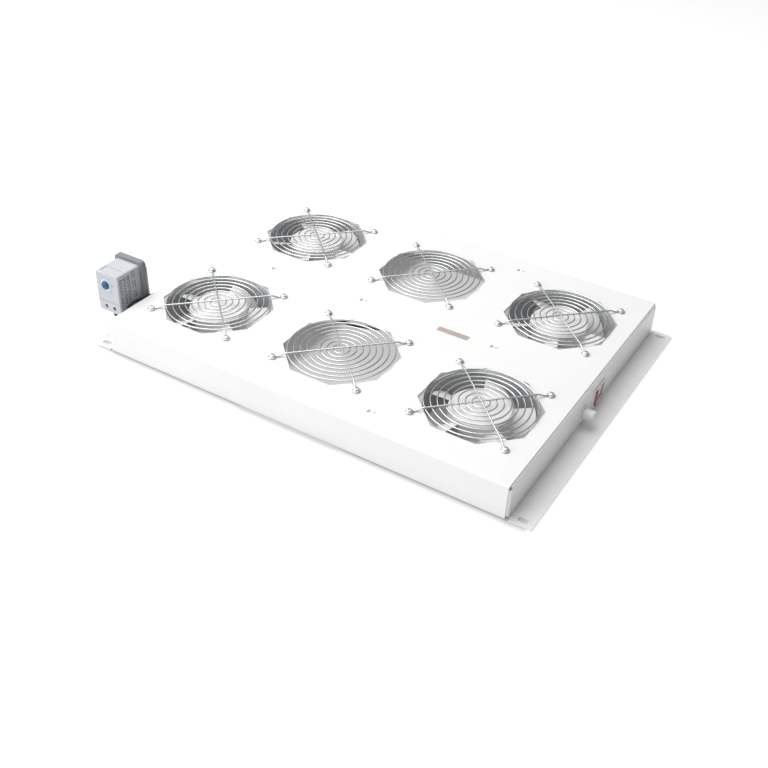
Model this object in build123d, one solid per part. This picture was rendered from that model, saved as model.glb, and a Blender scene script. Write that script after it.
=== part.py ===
from build123d import *
import os
from math import pi, radians, sqrt, tan

# A fan unit for the roof of an equipment cabinet: a shallow sheet-steel tray with six fan bays under wire
# guards, four of them fitted with 120 mm fans, a lit rocker switch and a fuse holder in the right end wall
# and a thermostat carried on a bracket at the left end wall.
# Millimetres. X runs from left to right, Y from front to back, Z up. The origin is the centre of the
# four mounting slots, on the underside of the flanges.

# Tray
plate_length = 487.0
box_depth = 390.0
box_height = 40.0
sheet = 1.5
bend_radius = 1.0
flange_reach = 25.0
lip_clearance = 3.0
return_lip = 11.0
relief = 1.0
seam = 0.1
slot_length = 11.0
slot_width = 6.5
slot_edge = 12.0
slot_end = 8.0

# Fan bays
columns = 3
rows = 2
column_end = 76.5
row_end = 97.5
grid_shift = -2.0
opening_flats = 119.0
hole_pitch = 105.0
screw_hole = 4.4

# Pressed bridges for the cable ties
bridge_width = 5.0
bridge_length = 5.0
bridge_flat = 2.8
bridge_press = 2.0
bridge_cut = 1.5
tie_y = 2.0
left_tie = 5.5
middle_tie = -36.0
right_tie = -35.5
spare_bridge = 83.0
spare_bridge_edge = 24.5
tie_thick = 0.9
tie_width = 2.4
tie_gap = 0.15
tie_slack = 0.3
tie_head = 4.8
tie_head_drop = 2.8

# Fan
fan_size = 120.0
fan_depth = 38.0
fan_corner = 5.0
fan_flange = 4.0
fan_bore = 115.0
fan_wall = 2.4
bell = 1.5
spider_disc = 64.0
spider_thick = 2.5
strut_width = 6.0
strut_height = 3.5
bearing_tube = 13.0
bearing_tube_drop = 6.5
outlet_width = 24.0
outlet_height = 16.0
outlet_middle = 20.0
outlet_entry = 5.5

# Rotor of the fan
hub_diameter = 66.0
hub_low = 9.0
hub_top_gap = 2.0
hub_wall = 2.2
hub_edge = 1.5
blade_count = 5
blade_tip_gap = 1.5
blade_low = 7.0
blade_drop = 4.0
blade_thick = 1.8
blade_root_chord = 31.0
blade_tip_chord = 47.0
blade_root_pitch = 48.0
blade_tip_pitch = 30.0
blade_camber = 3.0
shaft_diameter = 4.0
boss_diameter = 11.0
running_gap = 0.05
bearing_diameter = 10.0
bearing_length = 6.0

# Motor winding
core_diameter = 46.0
core_low = 11.0
core_high = 23.0
coil_outer = 19.0
coil_inner = 9.5
coil_overhang = 4.0
pole_slots = 4
pole_slot_width = 5.0

# Wire guard
guard_rings = 8
first_ring = 9.0
ring_inset = 1.5
ring_wire = 1.6
spoke_wire = 2.0
ring_lift = 1.4
weld = 0.2
eye_inner = 2.7
eye_wire = 1.8
eye_sides = 12
leg_top = 0.2
leg_foot = 0.63

# Screws and nuts of the guards
screw_diameter = 3.9
screw_length = 14.0
head_diameter = 6.6
head_height = 2.2
nut_flats = 7.0
nut_height = 3.2

# Rocker switch
switch_y = 18.5
switch_z = 17.0
bezel_length = 30.0
bezel_height = 22.5
bezel_thick = 2.0
bezel_edge = 0.7
switch_length = 27.2
switch_height = 20.0
switch_depth = 24.0
cut_clear = 0.2
rocker_radius = 12.9
rocker_width = 17.0
rocker_gap = 0.3
rocker_tilt = 9.0
rocker_pivot_in = 1.5
rocker_valley = 2.0
rocker_below = 4.0
rocker_pin = 2.4
pin_reach = 1.0
tag_length = 8.0
tag_width = 6.3
tag_thick = 0.8
tag_y = 7.0
tag_z = 4.5
plug_length = 13.0
plug_height = 16.0
plug_width = 22.0
plug_gap = 0.3
plug_edge = 1.2

# Fuse holder
fuse_y = -22.0
fuse_z = 16.5
fuse_collar = 17.5
fuse_collar_thick = 2.0
fuse_thread = 12.4
fuse_depth = 30.0
fuse_tag_length = 7.0
fuse_tag_width = 4.0
fuse_floor = 4.0
fuse_nut_flats = 16.0
fuse_nut_thick = 4.0
cap_diameter = 12.5
cap_height = 11.0
cap_ribs = 18
cap_skirt = 2.0
cap_rib_depth = 0.4
cap_rib_gap = 0.8
cap_edge = 0.8
cap_slot = 1.2
cap_slot_depth = 1.5
cap_gap = 0.3
carrier_gap = 0.3
carrier_diameter = 8.0
carrier_length = 16.0
carrier_floor = 2.0
link_gap = 0.1
link_cap_length = 5.0
link_glass = 4.6
link_diameter = 5.0
link_length = 20.0

# Thermostat
thermo_width = 33.0
thermo_height = 50.0
thermo_depth = 35.0
thermo_front = -163.5
thermo_low = 24.5
thermo_wall_gap = 9.8
thermo_shell = 1.6
thermo_corner = 2.5
thermo_edge = 0.8
thermo_split = 14.0
base_thick = 7.0
base_border = 4.0
base_corner = 5.0
base_edge = 0.8
knob_diameter = 10.0
knob_rise = 3.0
knob_gap = 0.7
knob_edge = 0.5
knob_slot = 1.4
knob_slot_depth = 1.2
knob_height = 35.5
knob_offset = -1.6
dial_diameter = 15.0
dial_rise = 0.4
spindle_diameter = 4.0
spindle_length = 9.0
ledge_height = 13.5
ledge_width = 0.8
ledge_depth = 0.5
lid_border = 4.0
lid_depth = 0.6
lid_back = 7.0
vent_rows = 13
vent_pitch = 3.2
vent_height = 1.4
vent_length = 4.6
vent_start = 2.6
vent_step = 6.0
slot_rows = 4
slot_high = 9.0
slot_wide = 1.3
slot_start = 1.4
slot_step = 3.2
terminal_height = 7.0
terminal_spacing = 11.8
terminal_offset = 1.1
terminal_hole = 5.0

# Bracket of the thermostat
bracket_foot = 24.0
bracket_low = 8.0
bracket_foot_top = 28.0
bracket_high = 70.0
bracket_inset = 2.0
bracket_screw = 4.0
bracket_screw_fit = 0.2
bracket_screw_length = 7.0
bracket_head = 7.2
bracket_head_height = 2.4
bracket_hole_spacing = 12.0

# Leads
lead_diameter = 3.6
flex_diameter = 4.0
lead_gap = 0.2
lead_entry_y = 5.0
grommet_y = -67.2
grommet_z = 20.0
grommet_hole = 12.0
grommet_bore = 8.6
grommet_lip = 2.0
grommet_bulge = 1.6
grommet_edge = 0.6
mains_x = 81.0
mains_hole = 14.0
mains_bore = 8.0

# Terminal block, earth stud and label
block_x = 80.0
block_length = 44.0
block_width = 18.0
block_height = 13.0
block_ways = 6
stud_diameter = 3.0
stud_inset = 3.5
stud_gap = 0.2
stud_well = 6.8
stud_nut_flats = 5.5
stud_nut_height = 2.4
well_width = 6.0
well_wall = 1.2
well_depth = 4.0
well_y = 5.0
earth_y = 35.0
earth_stud_diameter = 4.0
earth_stud_length = 12.0
earth_fit = 0.1
earth_spacer = 8.0
earth_tag = 9.0
earth_tag_drop = 4.0
earth_tag_thick = 1.0
earth_nut_flats = 7.0
earth_nut_height = 3.2
label_length = 38.0
label_width = 8.0
label_thick = 0.3

# Places that follow from the sizes above
fold = bend_radius + sheet
wall_x = plate_length / 2 + fold
wall_y = box_depth / 2
column_pitch = (plate_length - 2 * column_end) / (columns - 1)
row_pitch = (box_depth - 2 * row_end) / (rows - 1)
end_lip = wall_x - column_pitch - abs(grid_shift) - fan_size / 2 - lip_clearance
deck = box_height - sheet
fan_base = deck - fan_depth
bays = [
    (grid_shift + (c - (columns - 1) / 2) * column_pitch, (r - (rows - 1) / 2) * row_pitch)
    for c in range(columns)
    for r in range(rows)
]
fan_bays = [p for p in bays if abs(p[0] - grid_shift) > column_pitch / 2]
spare_bays = [p for p in bays if abs(p[0] - grid_shift) < column_pitch / 2]
corners = [(x * hole_pitch / 2, y * hole_pitch / 2) for x in (-1, 1) for y in (-1, 1)]
left_column, right_column = grid_shift - column_pitch, grid_shift + column_pitch
tie_points = {
    "left": (left_column + left_tie, tie_y),
    "middle": (grid_shift + middle_tie, tie_y),
    "right": (right_column + right_tie, tie_y),
}
spare_bridges = [(grid_shift + spare_bridge, side * (wall_y - spare_bridge_edge)) for side in (-1, 1)]

nodes = {}


def block(x0, x1, y0, y1, z0, z1):
    """A box between two corners."""
    return Pos((x0 + x1) / 2, (y0 + y1) / 2, (z0 + z1) / 2) * Box(x1 - x0, y1 - y0, z1 - z0)


def rod(diameter, z0, z1):
    """An upright cylinder on the Z axis."""
    return Pos(0, 0, (z0 + z1) / 2) * Cylinder(diameter / 2, z1 - z0)


def ring(outer, inner, z0, z1):
    return rod(outer, z0, z1) - rod(inner, z0 - 1, z1 + 1)


def rod_x(diameter, x0, x1):
    """A cylinder on the X axis."""
    return Pos((x0 + x1) / 2, 0, 0) * Rot(0, 90, 0) * Cylinder(diameter / 2, x1 - x0)


def folded(points):
    """The section of a folded strip of sheet, drawn on its middle line."""
    return trace(FilletPolyline(*points, radius=bend_radius + sheet / 2), line_width=sheet)


def one(shape):
    """The solids of a shape as one part or as a group of separate solids."""
    solids = shape.solids()
    return solids[0] if len(solids) == 1 else Compound(children=list(solids))


def group(shapes):
    return Compound(children=[s for shape in shapes for s in shape.solids()])


# Tray


def bridge_at(x, y):
    """A narrow strip of the top plate, cut on two sides and pressed down to hold a cable tie."""
    half, flat = bridge_length / 2, bridge_flat / 2
    low = box_height - bridge_press
    outline = Polygon(
        (-half, box_height), (-flat, low), (flat, low), (half, box_height),
        (half, deck), (flat, low - sheet), (-flat, low - sheet), (-half, deck),
        align=None,
    )
    strip = extrude(Plane.YZ * outline, amount=bridge_width / 2, both=True)
    cut = block(
        -bridge_width / 2 - bridge_cut, bridge_width / 2 + bridge_cut, -half, half, deck - 1, box_height + 1
    )
    return Pos(x, y, 0) * cut, Pos(x, y, 0) * strip


def top_panel():
    """Top plate up to its two long bends, with the openings, screw holes and pressed bridges."""
    half = wall_y - fold
    panel = block(-plate_length / 2, plate_length / 2, -half, half, deck, box_height)
    octagon = RegularPolygon(opening_flats / 2, 8, major_radius=False, rotation=22.5)
    opening = octagon + [Pos(x, y) * Circle(screw_hole / 2) for x, y in corners]
    cutter = Pos(0, 0, deck - 1) * extrude(opening, sheet + 2)
    panel -= [Pos(x, y, 0) * cutter for x, y in bays]
    bridges = [bridge_at(*p) for p in [*tie_points.values(), *spare_bridges]]
    panel -= [cut for cut, strip in bridges]
    return panel + [strip for cut, strip in bridges]


def front_wall():
    """Front wall of the same sheet, from its bend under the top plate down to its return lip."""
    mid = sheet / 2
    points = [
        (-wall_y + return_lip, mid),
        (-wall_y + mid, mid),
        (-wall_y + mid, box_height - mid),
        (-wall_y + fold, box_height - mid),
    ]
    return extrude(Plane.YZ * folded(points), amount=plate_length / 2, both=True)


def back_wall():
    wall = mirror(front_wall(), about=Plane.XZ)
    return wall - Pos(mains_x, wall_y - sheet / 2, grommet_z) * Rot(90, 0, 0) * Cylinder(mains_hole / 2, 3 * sheet)


def end_wall():
    """Right end wall: top lip, wall, flange and two side tabs, all folded from one blank."""
    mid = sheet / 2
    tab_y = wall_y - sheet
    run = tab_y - fold - relief
    profile = [
        (wall_x - end_lip, deck - mid),
        (wall_x - mid, deck - mid),
        (wall_x - mid, mid),
        (wall_x + flange_reach, mid),
    ]
    wall = extrude(Plane.XZ * folded(profile), amount=run, both=True)
    flange_x = wall_x + bend_radius
    for side in (-1, 1):
        ends = sorted([side * run, side * wall_y])
        wall += block(flange_x, wall_x + flange_reach, ends[0], ends[1], 0, sheet)
        tab = folded(
            [
                (wall_x - end_lip, side * (tab_y - mid)),
                (wall_x - mid, side * (tab_y - mid)),
                (wall_x - mid, side * (run - 0.01)),
            ]
        )
        wall += extrude(Pos(0, 0, fold + relief) * tab, deck - 2 * (fold + relief))
        slot = SlotOverall(slot_length, slot_width)
        place = Pos(wall_x + flange_reach - slot_edge, side * (wall_y - slot_end), -1)
        wall -= place * extrude(slot, sheet + 2)
    return wall


def right_end_wall():
    wall = end_wall()
    wall -= Pos(wall_x, switch_y, switch_z) * Box(
        3 * sheet, switch_length + 2 * cut_clear, switch_height + 2 * cut_clear
    )
    wall -= Pos(0, fuse_y, fuse_z) * rod_x(fuse_thread + 2 * cut_clear, wall_x - 2 * sheet, wall_x + sheet)
    return wall


def left_end_wall():
    wall = mirror(end_wall(), about=Plane.YZ)
    wall -= Pos(0, grommet_y, grommet_z) * rod_x(grommet_hole, -wall_x - sheet, -wall_x + 2 * sheet)
    for y, z in bracket_holes():
        wall -= Pos(0, y, z) * rod_x(bracket_screw + 0.4, -wall_x - sheet, -wall_x + 2 * sheet)
    return wall


# Fan


def hub_top():
    return fan_depth - hub_top_gap


def tube_top():
    return hub_top() - bearing_tube_drop


def fan_frame():
    """Fan housing: two square flanges on a round duct, the spider with its bearing tube, the lead outlet."""
    flange = extrude(RectangleRounded(fan_size, fan_size, fan_corner), fan_flange)
    frame = flange + Pos(0, 0, fan_depth - fan_flange) * flange
    duct = rod(fan_bore + 2 * fan_wall, 0, fan_depth)
    frame += duct
    outlet = Pos(0, fan_size / 4, outlet_middle) * Box(outlet_width, fan_size / 2, outlet_height)
    frame += outlet
    frame -= rod(fan_bore, -1, fan_depth + 1)
    mouth = Cone(fan_bore / 2, fan_bore / 2 + bell, bell)
    frame -= Pos(0, 0, fan_depth - bell / 2) * mouth
    frame -= Pos(0, 0, bell / 2) * Rot(180, 0, 0) * mouth
    frame -= [Pos(x, y, fan_depth / 2) * Cylinder(screw_hole / 2, fan_depth + 2) for x, y in corners]
    disc = rod(spider_disc, 0, spider_thick) + rod(bearing_tube, 0, tube_top())
    strut = block(0, (fan_bore + fan_wall) / 2, -strut_width / 2, strut_width / 2, 0, strut_height)
    strut -= rod(spider_disc - 4, -1, strut_height + 1)
    disc += [Rot(0, 0, 45 + 90 * k) * strut for k in range(4)]
    disc -= rod(bearing_diameter + 2 * running_gap, spider_thick, tube_top() + 1)
    return frame + disc


def fan_stator():
    """Laminated core with its winding, seated on the bearing tube."""
    core = rod(core_diameter, core_low, core_high)
    slot = block(coil_outer - 2, core_diameter, -pole_slot_width / 2, pole_slot_width / 2, 0, fan_depth)
    core -= [Rot(0, 0, 360 / pole_slots * (k + 0.5)) * slot for k in range(pole_slots)]
    coil = ring(2 * coil_outer, 2 * coil_inner, core_low - coil_overhang, core_high + coil_overhang)
    return core + coil - rod(bearing_tube + 2 * running_gap, 0, fan_depth)


def fan_bearings():
    bush = ring(bearing_diameter, shaft_diameter + 2 * running_gap, 0, bearing_length)
    low = spider_thick + 0.5
    return group([Pos(0, 0, low) * bush, Pos(0, 0, tube_top() - bearing_length) * bush])


def fan_shaft():
    return rod(shaft_diameter, spider_thick + 0.3, hub_top() - hub_wall)


def blade_section(radius, chord, pitch):
    """A curved blade section, facing the axis at the given distance from it."""
    half, rise = chord / 2, blade_camber
    outer = ThreePointArc((-half, 0), (0, rise + blade_thick), (half, 0))
    inner = ThreePointArc((half, 0), (0, rise), (-half, 0))
    middle = (blade_low + hub_top() - blade_drop) / 2
    plane = Plane(origin=(radius, 0, middle), x_dir=(0, 1, 0), z_dir=(1, 0, 0))
    return plane * Rot(0, 0, pitch) * make_face([outer, inner])


def fan_impeller():
    """Hub cup with its blades; the blades are trimmed round at the tip and flat at both edges."""
    hub_r = hub_diameter / 2
    tip_r = fan_bore / 2 - blade_tip_gap
    top = hub_top()
    cup = chamfer(rod(hub_diameter, hub_low, top).edges().group_by(Axis.Z)[-1], hub_edge)
    cup -= rod(hub_diameter - 2 * hub_wall, hub_low - 1, top - hub_wall)
    cup += rod(boss_diameter, tube_top() + 0.6, top - hub_wall / 2)
    cup -= rod(shaft_diameter, 0, top - hub_wall)
    root = blade_section(hub_r - 4, blade_root_chord, blade_root_pitch)
    tip = blade_section(tip_r + 2, blade_tip_chord, blade_tip_pitch)
    blade = loft([root, tip], ruled=True)
    sweep_zone = ring(2 * tip_r, hub_diameter - hub_wall, blade_low, top - blade_drop)
    blade = blade & sweep_zone
    return cup + [Rot(0, 0, 360 / blade_count * k + 20) * blade for k in range(blade_count)]


# Guards


def outer_ring():
    return opening_flats / 2 - ring_inset


def spoke():
    """One straight wire over the rings, with its two legs bent down to the plate."""
    low = eye_wire / 2
    high = ring_lift + ring_wire + spoke_wire / 2 - weld
    reach = hole_pitch / sqrt(2) - eye_inner - eye_wire / 2
    outer = outer_ring()
    start, end = outer + leg_top * (reach - outer), outer + leg_foot * (reach - outer)
    points = [(-reach, low), (-end, low), (-start, high), (start, high), (end, low), (reach, low)]
    wire = trace(FilletPolyline(*points, radius=spoke_wire), line_width=spoke_wire * 0.9)
    return extrude(Plane.XZ * wire, amount=spoke_wire * 0.45, both=True)


def finger_guard():
    """Concentric rings under two crossing spokes that end in eyes for the screws."""
    guard = Rot(0, 0, 45) * spoke() + Rot(0, 0, -45) * spoke()
    for k in range(guard_rings):
        radius = first_ring + k * (outer_ring() - first_ring) / (guard_rings - 1)
        sides = 12 + 2 * k
        loop = RegularPolygon(radius + ring_wire / 2, sides) - RegularPolygon(radius - ring_wire / 2, sides)
        guard += Pos(0, 0, ring_lift) * extrude(loop, ring_wire)
    eye = RegularPolygon(eye_inner + eye_wire, eye_sides) - RegularPolygon(eye_inner, eye_sides)
    guard += [Pos(x, y, 0) * extrude(eye, eye_wire) for x, y in corners]
    return guard


def pan_screw(diameter, length, head, height):
    """A screw pointing down, with the underside of its head at zero."""
    return rod(head, 0, height) + rod(diameter, -length, height / 2)


def nut(flats, height, bore):
    body = extrude(RegularPolygon(flats / 2, 6, major_radius=False), height)
    return body - rod(bore, -1, height + 1)


def guard_nuts():
    bolt_nut = nut(nut_flats, nut_height, screw_diameter + 2 * running_gap)
    under_fan = [Pos(x + u, y + v, deck - fan_flange - nut_height) for x, y in fan_bays for u, v in corners]
    under_plate = [Pos(x + u, y + v, deck - nut_height) for x, y in spare_bays for u, v in corners]
    return group([place * bolt_nut for place in under_fan + under_plate])


# Switch


def switch_body():
    """Housing with its bezel; the window and the well leave room for the rocker's whole swing."""
    face = wall_x + bezel_thick
    bezel = block(wall_x, face, -bezel_length / 2, bezel_length / 2, -bezel_height / 2, bezel_height / 2)
    bezel = chamfer(bezel.edges().group_by(Axis.X)[-1], bezel_edge)
    body = bezel + block(
        wall_x - switch_depth, wall_x + 0.5,
        -switch_length / 2, switch_length / 2, -switch_height / 2, switch_height / 2
    )
    pivot = wall_x - rocker_pivot_in
    half_z = rocker_width / 2 + rocker_gap
    well = extrude(Circle(rocker_radius + rocker_gap), amount=half_z, both=True)
    body -= Pos(pivot, 0, 0) * well
    pin_hole = Cylinder(rocker_pin / 2 + running_gap, rocker_width + 2 * (pin_reach + running_gap))
    body -= Pos(pivot, 0, 0) * pin_hole
    return Pos(0, switch_y, switch_z) * body


def switch_rocker():
    """Rocker at one end of its swing: the far half is pressed into the bezel and the near half stands out."""
    slope = tan(radians(rocker_tilt))
    end = rocker_valley + rocker_radius * slope
    outline = Polygon(
        (-rocker_below, -rocker_radius), (end, -rocker_radius), (rocker_valley, 0),
        (end, rocker_radius), (-rocker_below, rocker_radius), align=None,
    )
    solid = extrude(outline & Circle(rocker_radius), amount=rocker_width / 2, both=True)
    solid += Cylinder(rocker_pin / 2, rocker_width + 2 * pin_reach)
    place = Pos(wall_x - rocker_pivot_in, switch_y, switch_z)
    return place * Rot(0, 0, rocker_tilt) * solid


def switch_terminals():
    """Four flat blades in the back of the housing."""
    x1 = wall_x - switch_depth
    tag = block(x1 - tag_length, x1, -tag_thick / 2, tag_thick / 2, -tag_width / 2, tag_width / 2)
    return group([Pos(0, switch_y + y, switch_z + z) * tag for y in (-tag_y, tag_y) for z in (-tag_z, tag_z)])


def switch_plug():
    """Moulded socket over the blades, at the end of the switch lead."""
    x1 = wall_x - switch_depth - plug_gap
    plug = block(x1 - plug_length, x1, -plug_width / 2, plug_width / 2, -plug_height / 2, plug_height / 2)
    plug = chamfer(plug.edges().filter_by(Axis.X), plug_edge)
    fit = 2 * running_gap
    slit = block(x1 - tag_length, x1 + 1, -tag_thick / 2 - fit, tag_thick / 2 + fit,
                 -tag_width / 2 - fit, tag_width / 2 + fit)
    plug -= [Pos(0, y, z) * slit for y in (-tag_y, tag_y) for z in (-tag_z, tag_z)]
    return Pos(0, switch_y, switch_z) * plug


# Fuse holder


def fuse_holder_body():
    collar = rod_x(fuse_collar, wall_x, wall_x + fuse_collar_thick)
    barrel = rod_x(fuse_thread, wall_x - fuse_depth, wall_x + 0.5)
    body = collar + barrel
    x1 = wall_x - fuse_depth
    body -= rod_x(carrier_diameter + 2 * carrier_gap, x1 + fuse_floor, wall_x + fuse_collar_thick + 1)
    tail = block(
        x1 - fuse_tag_length, x1, -fuse_tag_width / 2, fuse_tag_width / 2, -tag_thick / 2, tag_thick / 2
    )
    return Pos(0, fuse_y, fuse_z) * (body + tail)


def fuse_holder_nut():
    ring_nut = Rot(0, -90, 0) * nut(fuse_nut_flats, fuse_nut_thick, fuse_thread + 2 * running_gap)
    return Pos(wall_x - sheet, fuse_y, fuse_z) * ring_nut


def cap_start():
    return wall_x + fuse_collar_thick + cap_gap


def fuse_cap():
    """Ribbed cap with a driver slot and the tube that carries the fuse."""
    start = cap_start()
    end = start + cap_height
    knob = rod_x(cap_diameter, start, end)
    knob = chamfer(knob.edges().group_by(Axis.X)[-1], cap_edge)
    half_gap = cap_rib_gap / 2
    groove_floor = cap_diameter / 2 - cap_rib_depth
    groove = block(start + cap_skirt, end + 1, groove_floor, cap_diameter, -half_gap, half_gap)
    knob -= [Rot(360 / cap_ribs * k, 0, 0) * groove for k in range(cap_ribs)]
    knob -= block(end - cap_slot_depth, end + 1, -cap_diameter, cap_diameter, -cap_slot / 2, cap_slot / 2)
    carrier = rod_x(carrier_diameter, start - carrier_length, start + 0.5)
    socket = rod_x(link_diameter + 2 * link_gap, start - carrier_length - 1, start - carrier_floor)
    cap = knob + carrier - socket
    return Pos(0, fuse_y, fuse_z) * cap


def fuse_link():
    """Glass fuse with its two end caps, held in the carrier."""
    x1 = cap_start() - carrier_floor
    x0 = x1 - link_length
    link = rod_x(link_glass, x0, x1)
    link += rod_x(link_diameter, x1 - link_cap_length, x1) + rod_x(link_diameter, x0, x0 + link_cap_length)
    return Pos(0, fuse_y, fuse_z) * link


# Thermostat: x counts from its left side, y from its front face and z from its underside

thermo_x = -wall_x - thermo_wall_gap - thermo_width


def at_thermostat(shape):
    return Pos(thermo_x, thermo_front, thermo_low) * shape


def knob_centre():
    return thermo_width / 2 + knob_offset, knob_height


def rod_y(diameter, y0, y1):
    """A cylinder on the Y axis."""
    return Pos(0, (y0 + y1) / 2, 0) * Rot(90, 0, 0) * Cylinder(diameter / 2, y1 - y0)


def rounded_block(y0, y1, radius):
    """The outline of the thermostat between two depths."""
    outline = RectangleRounded(thermo_width, thermo_height, radius)
    return Pos(thermo_width / 2, y1, thermo_height / 2) * Rot(90, 0, 0) * extrude(outline, y1 - y0)


def thermostat_case():
    """Front shell: vents in both sides, a sunk panel in the top, a ledge across the front, driver holes."""
    w, h, d = thermo_width, thermo_height, thermo_depth - thermo_split
    shell = rounded_block(0, d, thermo_corner)
    shell = chamfer(shell.edges().group_by(Axis.Y)[0], thermo_edge)
    s = thermo_shell
    shell -= block(s, w - s, s, d + 1, s, h - s)
    kx, kz = knob_centre()
    shell += Pos(kx, 0, kz) * rod_y(dial_diameter, -dial_rise, s)
    shell -= Pos(kx, 0, kz) * rod_y(spindle_diameter + 2 * running_gap, -1, s + 1)
    shell -= Pos(w / 2 + terminal_offset, lead_entry_y, 0) * Cylinder(lead_diameter / 2 + lead_gap, 3 * s)
    for side in (-1, 1):
        x = w / 2 + side * terminal_spacing / 2 + terminal_offset
        shell -= Pos(x, 0, terminal_height) * rod_y(terminal_hole, -1, s + 1)
    shell -= block(-1, w + 1, -1, ledge_depth, ledge_height, ledge_height + ledge_width)
    for row in range(vent_rows):
        z = h / 2 + (row - (vent_rows - 1) / 2) * vent_pitch
        for column in range(3):
            y = vent_start + column * vent_step
            shell -= block(-1, w + 1, y, y + vent_length, z - vent_height / 2, z + vent_height / 2)
    shell -= block(lid_border, w - lid_border, lid_border, d - lid_back, h - lid_depth, h + 1)
    return at_thermostat(shell)


def thermostat_back():
    """Rear shell, closed at the back, with rows of slots in its sides."""
    w, h, s = thermo_width, thermo_height, thermo_shell
    y0 = thermo_depth - thermo_split + seam
    shell = rounded_block(y0, thermo_depth, thermo_corner)
    shell -= block(s, w - s, y0 - 1, thermo_depth - s, s, h - s)
    for row in range(slot_rows):
        z = h * (row + 0.5) / slot_rows
        for column in range(2):
            y = y0 + slot_start + column * slot_step
            shell -= block(-1, w + 1, y, y + slot_wide, z - slot_high / 2, z + slot_high / 2)
    return at_thermostat(shell)


def thermostat_base():
    """Dark base plate with rounded corners, larger than the case all round."""
    w, h = thermo_width + 2 * base_border, thermo_height + 2 * base_border
    plate = extrude(RectangleRounded(w, h, base_corner), base_thick)
    plate = chamfer(plate.edges().group_by(Axis.Z)[-1], base_edge)
    place = Pos(thermo_width / 2, thermo_depth + base_thick, thermo_height / 2) * Rot(90, 0, 0)
    base = at_thermostat(place * plate)
    pilot = Cylinder((bracket_screw - bracket_screw_fit) / 2 + running_gap, 2 * bracket_screw_length)
    base -= [Pos(arm_screw_x(), bracket_arm_y(), z) * Rot(90, 0, 0) * pilot for z in arm_screw_heights()]
    return base


def thermostat_knob():
    kx, kz = knob_centre()
    knob = rod_y(knob_diameter, -knob_rise, -knob_gap)
    knob = chamfer(knob.edges().group_by(Axis.Y)[0], knob_edge)
    slot_floor = knob_slot_depth - knob_rise
    knob -= block(-knob_diameter, knob_diameter, -knob_rise - 1, slot_floor, -knob_slot / 2, knob_slot / 2)
    return at_thermostat(Pos(kx, 0, kz) * knob)


def thermostat_spindle():
    kx, kz = knob_centre()
    return at_thermostat(Pos(kx, 0, kz) * rod_y(spindle_diameter, -knob_gap, spindle_length))


def thermostat_switch():
    """Snap-action switch body behind the spindle."""
    kx, kz = knob_centre()
    y0 = spindle_length + 0.3
    body = block(thermo_shell + 0.2, thermo_width - thermo_shell - 0.2, y0, y0 + 9, kz - 12, kz + 8)
    return at_thermostat(body)


def thermostat_bimetal():
    """Curved temperature-sensing strip beside the switch."""
    kx, kz = knob_centre()
    y0 = spindle_length + 9.3
    arc = trace(ThreePointArc((6, kz - 10), (10, kz + 2), (20, kz + 9)), line_width=0.8)
    strip = extrude(Plane.XZ * arc, amount=-8)
    return at_thermostat(Pos(0, y0, 0) * strip)


def thermostat_terminals():
    """Two clamp blocks with their screws, behind the driver holes."""
    s = thermo_shell
    clamps = []
    for side in (-1, 1):
        x = thermo_width / 2 + side * terminal_spacing / 2 + terminal_offset
        clamp = block(x - 3.6, x + 3.6, s + 2.5, s + 13, s, terminal_height + 5)
        screw = Pos(x, 0, terminal_height) * rod_y(4.4, s + 0.4, s + 3)
        screw -= block(x - 3, x + 3, 0, s + 1.2, terminal_height - 0.4, terminal_height + 0.4)
        clamps.append(clamp + screw)
    return at_thermostat(group(clamps))


def bracket_arm_y():
    return thermo_front + thermo_depth + base_thick


def bracket_holes():
    y = bracket_arm_y() + sheet + bracket_foot / 2
    middle = (bracket_low + bracket_foot_top) / 2
    return [(y, middle - bracket_hole_spacing / 2), (y, middle + bracket_hole_spacing / 2)]


def thermostat_bracket():
    """Folded plate: its foot is screwed to the end wall and its arm carries the base plate."""
    arm_y = bracket_arm_y()
    mid = sheet / 2
    points = [
        (thermo_x + bracket_inset, arm_y + mid),
        (-wall_x - mid, arm_y + mid),
        (-wall_x - mid, arm_y + bracket_foot),
    ]
    plate = extrude(Pos(0, 0, bracket_low) * folded(points), bracket_high - bracket_low)
    step_x = thermo_x + thermo_width + base_border
    plate -= block(step_x, -wall_x + 1, arm_y - 1, arm_y + bracket_foot + 1, bracket_foot_top, bracket_high + 1)
    for y, z in bracket_holes():
        plate -= Pos(0, y, z) * rod_x(bracket_screw + 0.4, -wall_x - 2 * sheet, -wall_x + 1)
    for z in arm_screw_heights():
        plate -= Pos(arm_screw_x(), arm_y, z) * rod_y(bracket_screw + 0.4, -1, sheet + 1)
    return plate


def arm_screw_x():
    return thermo_x + thermo_width / 2


def arm_screw_heights():
    return [thermo_low + 12, thermo_low + thermo_height - 18]


def bracket_screws():
    """Four short pan-head screws: two in the end wall and two into the back of the base plate."""
    shank = bracket_screw - bracket_screw_fit
    screw = pan_screw(shank, bracket_screw_length, bracket_head, bracket_head_height)
    arm_y = bracket_arm_y() + sheet
    wall = [Pos(-wall_x - sheet, y, z) * Rot(0, -90, 0) * screw for y, z in bracket_holes()]
    arm = [Pos(arm_screw_x(), arm_y, z) * Rot(-90, 0, 0) * screw for z in arm_screw_heights()]
    return group(wall + arm)


# Leads


def corner_radii(points):
    """For each corner of a route, the largest arc that leaves both its runs some straight."""
    radii = []
    for a, b, c in zip(points, points[1:], points[2:]):
        into, out = Vector(*b) - Vector(*a), Vector(*c) - Vector(*b)
        half_turn = radians(into.get_angle(out)) / 2
        radii.append(0.45 * min(into.length, out.length) / tan(half_turn))
    return radii


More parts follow.
